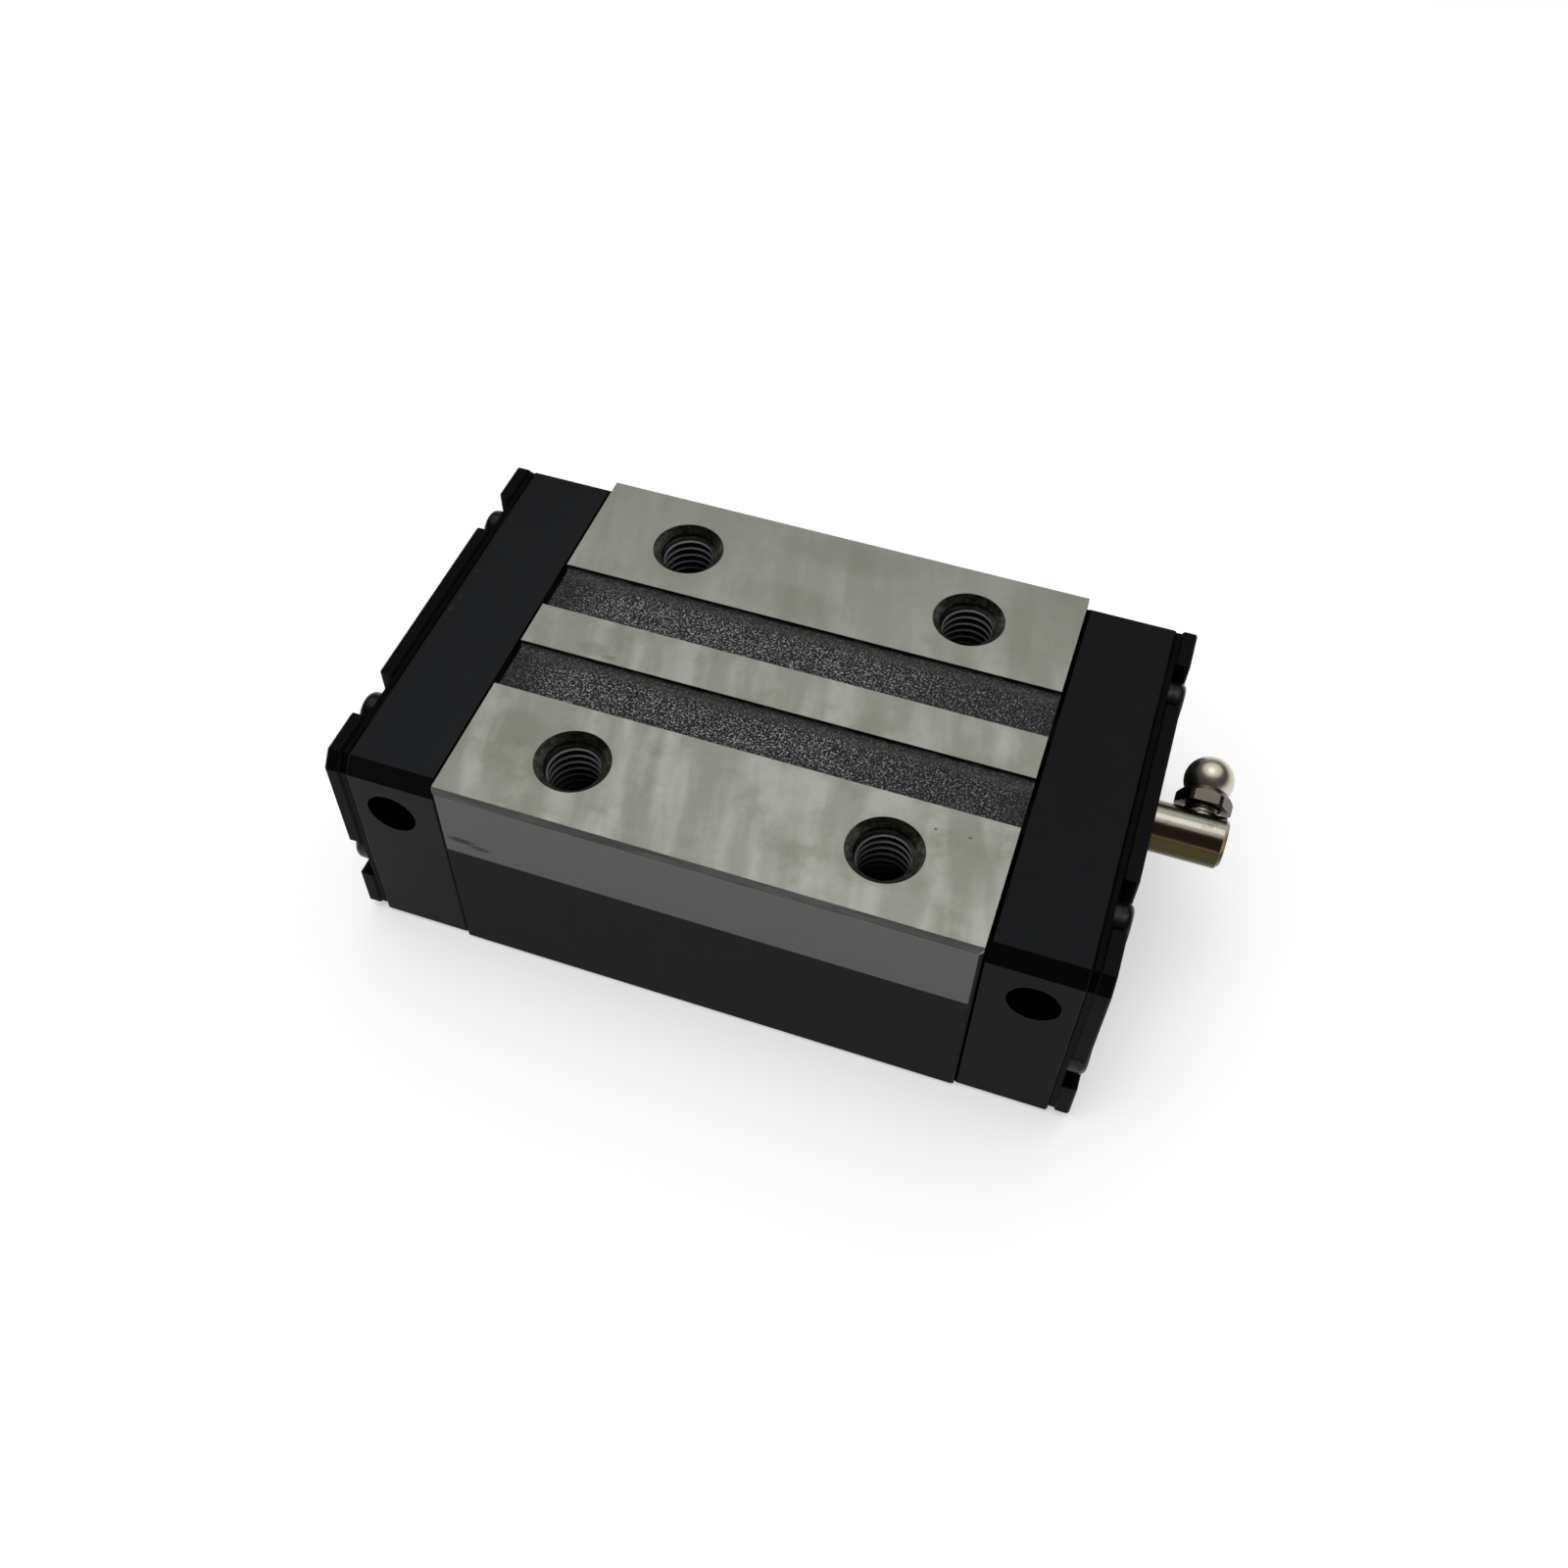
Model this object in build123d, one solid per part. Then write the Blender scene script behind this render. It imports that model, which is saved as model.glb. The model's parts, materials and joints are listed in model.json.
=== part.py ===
from build123d import *
import math
import os

# Linear bearing block for a 28 mm profile rail: a ground steel runner block with four closed
# ball circuits, moulded end caps, end seals and a grease nipple on an elbow.
# Frame: origin at the centre of the four mounting holes on the ground top face, +X along the
# travel towards the grease nipple, +Z up, lengths in millimetres. Near is -Y, left is -X.
# Cross-sections are drawn as (y, z) and run along X.

# Runner block
block_length = 69.0
block_width = 60.0
block_height = 33.0
ground_side_height = 11.8
side_relief = 0.15
top_edge_chamfer = 0.7
bottom_edge_chamfer = 0.6
end_edge_chamfer = 0.5
top_groove_inner = 3.5
top_groove_width = 8.0
top_groove_depth = 1.2
top_groove_corner = 0.3

# Mounting holes, M8 drawn at its outside diameter
hole_spacing_x = 40.0
hole_spacing_y = 40.0
hole_radius = 4.0
hole_thread_depth = 10.0
hole_mouth_radius = 4.9
drill_radius = 3.4
drill_depth = 12.0
drill_point_angle = 118.0

# Rail that the block runs on, measured from the top of the block
rail_width = 28.0
rail_top_drop = 16.0
rail_top_width = 21.2
rail_neck_width = 24.2
rail_foot_gap = 1.9
rail_nose_flat = 0.15
rail_groove_angles = (170.0, 262.0)
rail_reach = 24.0

# Ball rows
ball_diameter = 4.7625
groove_conformity = 0.52
row_outset = 0.3
upper_row_drop = 3.4
row_gap = 2.04
return_span = 8.9
upper_return_rise = 1.8
lower_return_fall = 1.0
lower_return_inset = 0.3
ball_play = 0.27
ball_spacing_min = 0.05

# Channel in the block
crown_clearance = 1.7
crown_half = 12.4
wall_clearance = 1.75
upper_groove_start = 100.0
lower_groove_end = -75.0
under_seal_recess = 1.2
under_seal_reach = 6.5

# Ball retainers
retainer_ball_gap = 0.12
retainer_rail_gap = 0.45
retainer_plate = 1.0
upper_lip_start = 108.0
upper_lip_end = 150.0
upper_lip_width = 0.2
lower_lip_inset = 1.3
retainer_foot_gap = 0.38
retainer_tongue_width = 12.0
retainer_tongue_length = 2.0

# End caps
cap_length = 12.3
cap_drop = 0.5
cap_width = 59.0
cap_shoulder_inset = 1.7
cap_shoulder_height = 2.1
cap_bottom_rise = 0.4
cap_corner = 0.3
cap_joint_chamfer = 0.6
cap_side_joint_chamfer = 0.35
cap_edge_radius = 0.4
cap_rail_gap = 0.5
turn_flange = 0.2
guide_clearance = 0.08
guide_web_width = 3.2
guide_web_length = 1.5

# Seal plates and end seals
plate_thickness = 0.7
plate_inset = 0.15
seal_bottom_rise = 1.3
plate_rail_gap = 0.9
seal_thickness = 2.0
seal_proud = 0.1
seal_edge_chamfer = 0.25
seal_rail_gap = 0.15
seal_bead_width = 1.2
seal_bead_height = 0.5
upper_notch_inner = 14.4
upper_notch_outer = 21.7
upper_notch_depth = 6.8
lower_notch_height = 7.6
lower_notch_depth = 6.6
notch_corner = 1.0

# End screws, M3 button heads with a hexagon socket
screw_radius = 1.5
screw_head_radius = 2.7
screw_head_height = 2.3
screw_head_round = 0.9
screw_socket_across = 2.0
screw_socket_depth = 1.1
screw_bite = 8.0
thread_clearance = 0.05
screw_clearance = 0.2
upper_screw_y = 18.3
upper_screw_drop = 4.0
lower_screw_inset = 3.2
lower_screw_drop = 21.2

# Grease ports, M5 drawn at its outside diameter
port_radius = 2.5
port_drop = 7.2
side_port_drop = 8.4
side_port_setback = 6.9
port_mouth_radius = 3.3
port_mouth_depth = 3.5
port_depth = 8.0
grease_groove_width = 1.6
grease_groove_depth = 1.2
seal_port_gap = 0.3

# Grease elbow and nipple, which is turned about the elbow from upright towards the far side
elbow_radius = 3.3
elbow_length = 12.0
elbow_end_chamfer = 0.5
elbow_stem_length = 7.0
grease_bore_radius = 1.0
nipple_setback = 3.6
nipple_turn = 70.0
nipple_thread_radius = 2.0
nipple_gap_off_elbow = 0.45
nipple_hex_across = 6.5
nipple_hex_corner_radius = 3.6
nipple_hex_height = 1.3
nipple_cone_height = 1.0
nipple_neck_radius = 2.7
nipple_head_radius = 3.15
nipple_head_rise = 1.6
nipple_mouth_radius = 0.7
nipple_mouth_depth = 0.75
nipple_chamber_radius = 1.05
nipple_chamber_depth = 5.3
nipple_passage_radius = 0.6
check_ball_radius = 0.95
check_ball_gap = 0.03
spring_coil_radius = 0.72
spring_wire_radius = 0.13
spring_turns = 6

# Port plug
plug_length = 5.0
plug_socket_across = 2.5
plug_socket_depth = 2.2

# Under seals
under_seal_thickness = 1.0
under_seal_rail_gap = 0.15
under_seal_end_gap = 0.1

# How far a cutting shape passes the face that it cuts
overcut = 1.0

# Places that follow from the sizes above
block_half = block_length / 2
cap_end = block_half + cap_length
plate_end = cap_end + plate_thickness
seal_end = plate_end + seal_thickness
ball_radius = ball_diameter / 2
groove_radius = groove_conformity * ball_diameter
tube_radius = ball_radius + ball_play
row_y = rail_width / 2 + row_outset
upper_row = (row_y, -rail_top_drop - upper_row_drop)
lower_row = (row_y, upper_row[1] - ball_diameter - row_gap)
upper_return = (row_y + return_span, upper_row[1] + upper_return_rise)
lower_return = (upper_return[0] - lower_return_inset, lower_row[1] - lower_return_fall)
circuits = {"upper": (upper_row, upper_return), "lower": (lower_row, lower_return)}
crown_z = -rail_top_drop + crown_clearance
wall_y = rail_width / 2 + wall_clearance
under_seal_top = -block_height + under_seal_recess
cap_side = cap_width / 2
screw_places = [
    (side * y, z)
    for side in (-1, 1)
    for y, z in ((upper_screw_y, -upper_screw_drop), (cap_side - lower_screw_inset, -lower_screw_drop))
]
elbow_end = cap_end + elbow_length
nipple_x = elbow_end - nipple_setback
nipple_shoulder = elbow_radius + nipple_gap_off_elbow
nipple_neck = nipple_shoulder + nipple_hex_height + nipple_cone_height
nipple_head = nipple_neck + nipple_head_rise


def along_x(section, start, end):
    return extrude(Plane.YZ.offset(start) * section, end - start)


def both_sides(half):
    return half + mirror(half, about=Plane.YZ)


def polygon(*points):
    return make_face(Polyline(*points, close=True))


def on_circle(centre, radius, degrees):
    angle = math.radians(degrees)
    return (centre[0] + radius * math.cos(angle), centre[1] + radius * math.sin(angle))


def arc_about(centre, radius, first, last):
    middle = (first + last) / 2
    return ThreePointArc(*(on_circle(centre, radius, angle) for angle in (first, middle, last)))


def rod_along_x(place, radius, start, end):
    return along_x(Pos(*place) * Circle(radius), start, end)


def standing_rod(radius, height):
    return extrude(Circle(radius), height)


# Cross-section of the rail, which the seals, caps and channel follow
def rail_section():
    top = -rail_top_drop
    base = top - rail_reach
    half = rail_width / 2
    first, last = rail_groove_angles
    upper = arc_about(upper_row, groove_radius, first, last)
    lower = arc_about(lower_row, groove_radius, -last, -first)
    foot = lower_row[1] - groove_radius - rail_foot_gap
    neck = (rail_neck_width / 2, foot + half - rail_neck_width / 2)
    nose_top = (half, (upper @ 1).Y - rail_nose_flat)
    nose_foot = (half, (lower @ 0).Y + rail_nose_flat)
    outline = [
        Polyline((0, base), (0, top), (rail_top_width / 2, top), upper @ 0),
        upper,
        Polyline(upper @ 1, nose_top, nose_foot, lower @ 0),
        lower,
        Polyline(lower @ 1, neck, (half, foot), (half, base), (0, base)),
    ]
    return both_sides(make_face(outline))


# Hollow of the runner block: crown, two raceways a side, and the recess for the under seals
def channel_section():
    wall_angle = math.degrees(math.acos((wall_y - row_y) / groove_radius))
    upper = arc_about(upper_row, groove_radius, upper_groove_start, -wall_angle)
    lower = arc_about(lower_row, groove_radius, wall_angle, lower_groove_end)
    lip_y = (lower @ 1).X
    recess_y = rail_width / 2 + under_seal_reach
    base = -block_height - overcut
    outline = [
        Polyline((0, crown_z), (crown_half, crown_z), upper @ 0),
        upper,
        Line(upper @ 1, lower @ 0),
        lower,
        Polyline(
            lower @ 1,
            (lip_y, under_seal_top),
            (recess_y, under_seal_top),
            (recess_y, base),
            (0, base),
            (0, crown_z),
        ),
    ]
    return both_sides(make_face(outline))


def block_outline():
    half = block_width / 2
    relieved = half - side_relief
    return both_sides(
        polygon(
            (0, 0),
            (half - top_edge_chamfer, 0),
            (half, -top_edge_chamfer),
            (half, -ground_side_height),
            (relieved, -ground_side_height - side_relief),
            (relieved, -block_height + bottom_edge_chamfer),
            (relieved - bottom_edge_chamfer, -block_height),
            (0, -block_height),
        )
    )


def top_groove_section():
    inner, outer = top_groove_inner, top_groove_inner + top_groove_width
    return both_sides(
        polygon(
            (inner, overcut),
            (inner, -top_groove_depth + top_groove_corner),
            (inner + top_groove_corner, -top_groove_depth),
            (outer - top_groove_corner, -top_groove_depth),
            (outer, -top_groove_depth + top_groove_corner),
            (outer, overcut),
        )
    )


def mounting_hole():
    point = drill_radius / math.tan(math.radians(drill_point_angle / 2))
    mouth = hole_mouth_radius - hole_radius
    profile = polygon(
        (0, overcut),
        (hole_mouth_radius + overcut, overcut),
        (hole_radius, -mouth),
        (hole_radius, -hole_thread_depth),
        (drill_radius, -hole_thread_depth),
        (drill_radius, -drill_depth),
        (0, -drill_depth - point),
    )
    return revolve(Plane.XZ * profile, Axis.Z)


def runner_block():
    plan = Rectangle(block_length, block_width)
    plan = chamfer(plan.vertices(), end_edge_chamfer)
    body = along_x(block_outline(), -block_half, block_half) & extrude(plan, -block_height)
    body -= along_x(channel_section() + top_groove_section(), -block_length, block_length)
    for row, back in circuits.values():
        for side in (-1, 1):
            body -= rod_along_x((side * back[0], back[1]), tube_radius, -block_length, block_length)
    for place in GridLocations(hole_spacing_x, hole_spacing_y, 2, 2):
        body -= place * mounting_hole()
    bite = block_half - screw_bite - screw_radius
    for place in screw_places:
        for start, end in ((-block_length, -bite), (bite, block_length)):
            body -= rod_along_x(place, screw_radius + thread_clearance, start, end)
    return body


# Retainers: they keep the balls in when the block is off its rail
def centre_retainer():
    reach = ball_radius + retainer_ball_gap
    lip = arc_about(upper_row, reach, upper_lip_start, upper_lip_end)
    under = crown_z - retainer_plate
    inner_y = (lip @ 1).X - upper_lip_width
    slope = (lip @ 1).X - rail_top_width / 2 - retainer_rail_gap
    outline = [
        Polyline((0, crown_z), (crown_half - upper_lip_width, crown_z), lip @ 0),
        lip,
        Polyline(lip @ 1, (inner_y, (lip @ 1).Y), (inner_y - slope, under), (0, under), (0, crown_z)),
    ]
    strip = along_x(both_sides(make_face(outline)), -block_half, block_half)
    tongue = Pos(0, crown_z - retainer_plate / 2) * Rectangle(retainer_tongue_width, retainer_plate)
    reach_x = block_half + retainer_tongue_length
    return strip + along_x(tongue, -reach_x, reach_x)


def side_retainer():
    reach = ball_radius + retainer_ball_gap
    inner = rail_width / 2 + retainer_rail_gap
    angles = [math.degrees(math.acos((y - row_y) / reach)) for y in (inner, wall_y)]
    top = arc_about(upper_row, reach, -angles[0], -angles[1])
    bottom = arc_about(lower_row, reach, angles[1], angles[0])
    outline = [top, Line(top @ 1, bottom @ 0), bottom, Line(bottom @ 1, top @ 0)]
    return along_x(make_face(outline), -block_half, block_half)


def lower_retainer():
    reach = ball_radius + retainer_ball_gap
    lip_y = on_circle(lower_row, groove_radius, lower_groove_end)[0]
    inner = row_y - lower_lip_inset
    first = -math.degrees(math.acos((inner - row_y) / reach))
    last = -math.degrees(math.acos((lip_y - row_y) / reach))
    top = arc_about(lower_row, reach, first, last)
    foot = under_seal_top + retainer_foot_gap
    flank = rail_width / 2 + retainer_rail_gap
    shoulder = (top @ 0).Y - retainer_rail_gap
    outline = [
        top,
        Polyline(
            top @ 1,
            (lip_y, foot),
            (flank, foot),
            (flank, shoulder - (flank - inner)),
            (inner, shoulder),
            top @ 0,
        ),
    ]
    return along_x(make_face(outline), -block_half, block_half)


# Ball circuits: a loaded row, a half turn in each end cap and a return bore, closed on itself
def circuit_radius(row, back):
    return math.dist(row, back) / 2


def circuit_plane(row, back):
    along = Vector(0, back[0] - row[0], back[1] - row[1]).normalized()
    middle = (block_half, (row[0] + back[0]) / 2, (row[1] + back[1]) / 2)
    return Plane(origin=middle, x_dir=(1, 0, 0), z_dir=Vector(1, 0, 0).cross(along))


def ball_place(row, back, distance):
    turn = circuit_radius(row, back)
    if distance < block_length:
        return (distance - block_half, *row)
    distance -= block_length
    if distance < math.pi * turn:
        return turn_place(row, back, distance / turn, 1)
    distance -= math.pi * turn
    if distance < block_length:
        return (block_half - distance, *back)
    return turn_place(back, row, (distance - block_length) / turn, -1)


def turn_place(start, end, angle, direction):
    share = (1 - math.cos(angle)) / 2
    y, z = (a + (b - a) * share for a, b in zip(start, end))
    return (direction * (block_half + circuit_radius(start, end) * math.sin(angle)), y, z)


def ball_circuit(row, back):
    turn = circuit_radius(row, back)
    path = 2 * block_length + 2 * math.pi * turn
    pitch = 2 * turn * math.asin((ball_diameter + ball_spacing_min) / (2 * turn))
    count = int(path / pitch)
    places = [ball_place(row, back, path * number / count) for number in range(count)]
    return Compound([Pos(*place) * Sphere(ball_radius) for place in places])


# Return guide: the inside of both half turns on one side of one cap, in one moulding
def turn_width():
    return 2 * (tube_radius + turn_flange)


def guide_web(clearance):
    width = guide_web_width + 2 * clearance
    middle_y = (upper_row[0] + upper_return[0]) / 2
    top, bottom = ((row[1] + back[1]) / 2 for row, back in circuits.values())
    strip = Pos(middle_y, (top + bottom) / 2) * Rectangle(width, top - bottom)
    return along_x(strip, block_half, block_half + guide_web_length + clearance)


def return_guide():
    guide = guide_web(0)
    for row, back in circuits.values():
        guide += circuit_plane(row, back) * Cylinder(circuit_radius(row, back), turn_width())
    for row, back in circuits.values():
        guide -= circuit_plane(row, back) * Torus(circuit_radius(row, back), tube_radius)
    return guide & along_x(cap_section(), block_half, cap_end)


def turn_pocket():
    pocket = guide_web(guide_clearance)
    for row, back in circuits.values():
        plane = circuit_plane(row, back)
        turn = circuit_radius(row, back)
        pocket += plane * Cylinder(turn + guide_clearance, turn_width() + 2 * guide_clearance)
        pocket += plane * Torus(turn, tube_radius)
    return pocket


# End pieces share one outline: flat top, sloped shoulders, straight sides
def end_outline(inset, bottom_rise):
    side = cap_side - inset
    top = -cap_drop - inset
    bottom = -block_height + bottom_rise
    return both_sides(
        polygon(
            (0, top),
            (side - cap_shoulder_inset, top),
            (side, top - cap_shoulder_height),
            (side, bottom + cap_corner),
            (side - cap_corner, bottom),
            (0, bottom),
        )
    )


def rail_opening(gap):
    return offset(rail_section(), gap, kind=Kind.INTERSECTION)


def cap_section():
    return end_outline(0, cap_bottom_rise) - rail_opening(cap_rail_gap)


# Grease ways in the inner face of a cap: from the middle port out and down to both turns
def grease_ways():
    way_z = -port_drop - port_radius
    turn_y = (upper_row[0] + upper_return[0]) / 2
    ways = Pos(0, way_z) * Rectangle(2 * turn_y + grease_groove_width, grease_groove_width)
    foot = (upper_row[1] + upper_return[1]) / 2
    for side in (-1, 1):
        ways += Pos(side * turn_y, (way_z + foot) / 2) * Rectangle(grease_groove_width, way_z - foot)
    return along_x(ways, block_half, block_half + grease_groove_depth)


def side_port():
    mouth = Cylinder(port_mouth_radius, 2 * port_mouth_depth)
    bore = Cylinder(port_radius, 2 * port_depth)
    return Pos(block_half + side_port_setback, cap_side, -side_port_drop) * Rot(90, 0, 0) * (mouth + bore)


def end_cap():
    cap = along_x(end_outline(0, cap_bottom_rise), block_half, cap_end)
    cap = fillet(cap.faces().sort_by(Axis.X)[-1].edges(), cap_edge_radius)
    joint = cap.faces().sort_by(Axis.X)[0].edges()
    cap = chamfer(joint.group_by(Axis.Y)[0] + joint.group_by(Axis.Y)[-1], cap_side_joint_chamfer)
    cap = chamfer(cap.faces().sort_by(Axis.X)[0].edges().sort_by(Axis.Z)[-1], cap_joint_chamfer)
    cap -= along_x(rail_opening(cap_rail_gap), 0, seal_end)
    port = rod_along_x((0, -port_drop), port_radius, 0, seal_end)
    pocket = turn_pocket()
    cap -= [port, grease_ways(), side_port(), mirror(side_port(), about=Plane.XZ)]
    cap -= [pocket, mirror(pocket, about=Plane.XZ)]
    cap -= [rod_along_x(place, screw_radius + screw_clearance, 0, seal_end) for place in screw_places]
    tongue = Pos(0, crown_z - retainer_plate / 2) * Rectangle(
        retainer_tongue_width + 2 * guide_clearance, retainer_plate + 2 * guide_clearance
    )
    cap -= along_x(tongue, 0, block_half + retainer_tongue_length + guide_clearance)
    return cap


def seal_plate():
    section = end_outline(plate_inset, seal_bottom_rise + plate_inset) - rail_opening(plate_rail_gap)
    section -= Pos(0, -port_drop) * Circle(elbow_radius + seal_port_gap)
    section -= [Pos(*place) * Circle(screw_radius + screw_clearance) for place in screw_places]
    return along_x(section, cap_end, plate_end)


def upper_notch():
    width = upper_notch_outer - upper_notch_inner
    middle = (upper_notch_inner + upper_notch_outer) / 2
    return Pos(middle, 0) * RectangleRounded(width, 2 * upper_notch_depth, notch_corner)


def lower_notch():
    notch = RectangleRounded(2 * lower_notch_depth, lower_notch_height, notch_corner)
    return Pos(cap_side, -lower_screw_drop) * notch


def end_seal():
    opening = rail_opening(seal_rail_gap)
    whole = end_outline(-seal_proud, seal_bottom_rise)
    outline = whole - both_sides(upper_notch()) - both_sides(lower_notch())
    outline -= Pos(0, -port_drop) * Circle(elbow_radius + seal_port_gap)
    seal = along_x(outline, plate_end, seal_end)
    for face in (0, -1):
        seal = chamfer(seal.faces().sort_by(Axis.X)[face].outer_wire().edges(), seal_edge_chamfer)
    seal -= along_x(opening, 0, seal_end + overcut)
    bead = (rail_opening(seal_rail_gap + seal_bead_width) - opening) & whole
    return seal + along_x(bead, plate_end, seal_end + seal_bead_height)


def hexagon(across):
    return RegularPolygon(across / 2, 6, major_radius=False)


def end_screw(place):
    shank_start = block_half - screw_bite
    head_end = plate_end + screw_head_height
    shank = rod_along_x(place, screw_radius, shank_start, plate_end)
    head = rod_along_x(place, screw_head_radius, plate_end, head_end)
    head = fillet(head.edges().sort_by(Axis.X)[-1], screw_head_round)
    socket = along_x(Pos(*place) * hexagon(screw_socket_across), -screw_socket_depth, overcut)
    return shank + head - Pos(head_end, 0, 0) * socket


def end_screws():
    return Compound([end_screw(place) for place in screw_places])


def under_seal():
    inner = rail_width / 2 + under_seal_rail_gap
    outer = rail_width / 2 + under_seal_reach - under_seal_end_gap
    section = Pos((inner + outer) / 2, under_seal_top - under_seal_thickness / 2) * Rectangle(
        outer - inner, under_seal_thickness
    )
    reach = block_half - under_seal_end_gap
    return along_x(section, -reach, reach)


def port_plug():
    plug = rod_along_x((0, -port_drop), port_radius - thread_clearance, cap_end - plug_length, cap_end)
    socket = Pos(0, -port_drop) * hexagon(plug_socket_across)
    return plug - along_x(socket, cap_end - plug_socket_depth, seal_end)


def grease_elbow():
    axis = (0, -port_drop)
    stem_start = cap_end - elbow_stem_length
    bar = rod_along_x(axis, elbow_radius, cap_end, elbow_end)
    bar = chamfer(bar.edges().sort_by(Axis.X)[-1], elbow_end_chamfer)
    elbow = bar + rod_along_x(axis, port_radius - thread_clearance, stem_start, cap_end)
    elbow -= rod_along_x(axis, grease_bore_radius, 0, nipple_x)
    return elbow - on_elbow(standing_rod(nipple_thread_radius + thread_clearance, elbow_radius + overcut))


# Nipple pieces are drawn standing on the elbow's axis, then turned about it
def on_elbow(shape):
    return Pos(nipple_x, 0, -port_drop) * Rot(-nipple_turn, 0, 0) * shape


def nipple_profile():
    head = (0, nipple_head)
    shoulder_top = nipple_shoulder + nipple_hex_height
    neck_angle = -math.degrees(math.acos(nipple_neck_radius / nipple_head_radius))
    mouth_angle = math.degrees(math.acos(nipple_mouth_radius / nipple_head_radius))
    ball = arc_about(head, nipple_head_radius, neck_angle, mouth_angle)
    seat = (ball @ 1).Y - nipple_mouth_depth
    floor = seat - nipple_chamber_depth
    outline = [
        Polyline(
            (nipple_passage_radius, thread_clearance),
            (nipple_thread_radius, thread_clearance),
            (nipple_thread_radius, nipple_shoulder),
            (nipple_hex_corner_radius, nipple_shoulder),
            (nipple_hex_corner_radius, shoulder_top),
            (nipple_neck_radius, nipple_neck),
            ball @ 0,
        ),
        ball,
        Polyline(
            ball @ 1,
            (nipple_mouth_radius, seat),
            (nipple_chamber_radius, seat),
            (nipple_chamber_radius, floor),
            (nipple_passage_radius, floor),
            (nipple_passage_radius, thread_clearance),
        ),
    ]
    return make_face(outline), seat, floor


def nipple_body():
    body = revolve(Plane.XZ * nipple_profile()[0], Axis.Z)
    wrench_flats = extrude(hexagon(nipple_hex_across), nipple_neck)
    head = Pos(0, 0, nipple_neck) * standing_rod(nipple_hex_corner_radius, nipple_head)
    return on_elbow(body & (wrench_flats + head))


def check_ball_height():
    seat = nipple_profile()[1]
    return seat - math.sqrt(check_ball_radius**2 - nipple_mouth_radius**2) - check_ball_gap


def check_ball():
    return on_elbow(Pos(0, 0, check_ball_height()) * Sphere(check_ball_radius))


def nipple_spring():
    floor = nipple_profile()[2] + spring_wire_radius
    top = check_ball_height() - check_ball_radius - spring_wire_radius
    height = top - floor - check_ball_gap
    coil = Helix(pitch=height / spring_turns, height=height, radius=spring_coil_radius)
    wire = Plane(origin=coil @ 0, z_dir=coil % 0) * Circle(spring_wire_radius)
    return on_elbow(Pos(0, 0, floor) * sweep(wire, path=coil, is_frenet=True))


def left(shape):
    return mirror(shape, about=Plane.YZ)


def near(shape):
    return mirror(shape, about=Plane.XZ)


parts = {
    "runner_block": runner_block(),
    "centre_ball_retainer": centre_retainer(),
    "side_ball_retainer_far": side_retainer(),
    "lower_ball_retainer_far": lower_retainer(),
    "under_seal_far": under_seal(),
    "end_cap_right": end_cap(),
    "return_guide_right_far": return_guide(),
    "seal_plate_right": seal_plate(),
    "end_seal_right": end_seal(),
    "end_screws_right": end_screws(),
    "port_plug_left": left(port_plug()),
    "grease_elbow": grease_elbow(),
    "nipple_body": nipple_body(),
    "nipple_check_ball": check_ball(),
    "nipple_spring": nipple_spring(),
}
for level, (row, back) in circuits.items():
    parts[f"ball_circuit_{level}_far"] = ball_circuit(row, back)
for name in [name for name in parts if name.endswith("_right")]:
    parts[name.replace("_right", "_left")] = left(parts[name])
parts["return_guide_left_far"] = left(parts["return_guide_right_far"])
for name in [name for name in parts if name.endswith("_far")]:
    parts[name.replace("_far", "_near")] = near(parts[name])

os.makedirs("parts", exist_ok=True)
for name, shape in parts.items():
    export_step(shape, f"parts/{name}.step")
    print(name, "solids", len(shape.solids()))
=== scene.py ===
import json
import math

import bmesh
import bpy
from mathutils import Matrix, Vector


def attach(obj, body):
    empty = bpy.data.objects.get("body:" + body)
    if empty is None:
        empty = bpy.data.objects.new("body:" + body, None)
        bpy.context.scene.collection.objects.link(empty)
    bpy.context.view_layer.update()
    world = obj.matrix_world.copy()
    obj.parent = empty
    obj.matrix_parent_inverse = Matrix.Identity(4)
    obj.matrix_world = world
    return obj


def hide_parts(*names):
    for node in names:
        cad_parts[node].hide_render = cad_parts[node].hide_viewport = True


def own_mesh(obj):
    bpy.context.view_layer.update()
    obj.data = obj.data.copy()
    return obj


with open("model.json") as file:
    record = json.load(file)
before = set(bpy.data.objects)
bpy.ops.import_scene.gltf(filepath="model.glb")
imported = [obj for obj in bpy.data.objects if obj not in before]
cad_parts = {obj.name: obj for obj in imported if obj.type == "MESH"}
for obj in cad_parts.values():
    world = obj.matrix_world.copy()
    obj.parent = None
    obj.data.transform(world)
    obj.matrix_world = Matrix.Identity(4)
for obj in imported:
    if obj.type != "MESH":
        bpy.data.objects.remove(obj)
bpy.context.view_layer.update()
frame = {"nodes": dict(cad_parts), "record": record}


def grey(value, tint=(1.0, 1.0, 1.0)):
    return (value * tint[0], value * tint[1], value * tint[2], 1.0)


MM = 0.001
WHITE = grey(1.0)

# Camera fitted to the hole mouths and edges in the photograph, in millimetres of the frame
CAMERA_PLACE = (39.307, -124.171, 146.845)
CAMERA_RIGHT = (0.947449, 0.319237, 0.020679)
CAMERA_DOWN = (0.263865, -0.743293, -0.614728)
CAMERA_FORWARD = (-0.180873, 0.587880, -0.788468)
CAMERA_CLIP = 5
FOCAL_PIXELS = 1559.6
PHOTO_PIXELS = 1600
SENSOR_MM = 36.0

# An edge is its place and the width of its fade; a band is two places and that width

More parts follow.
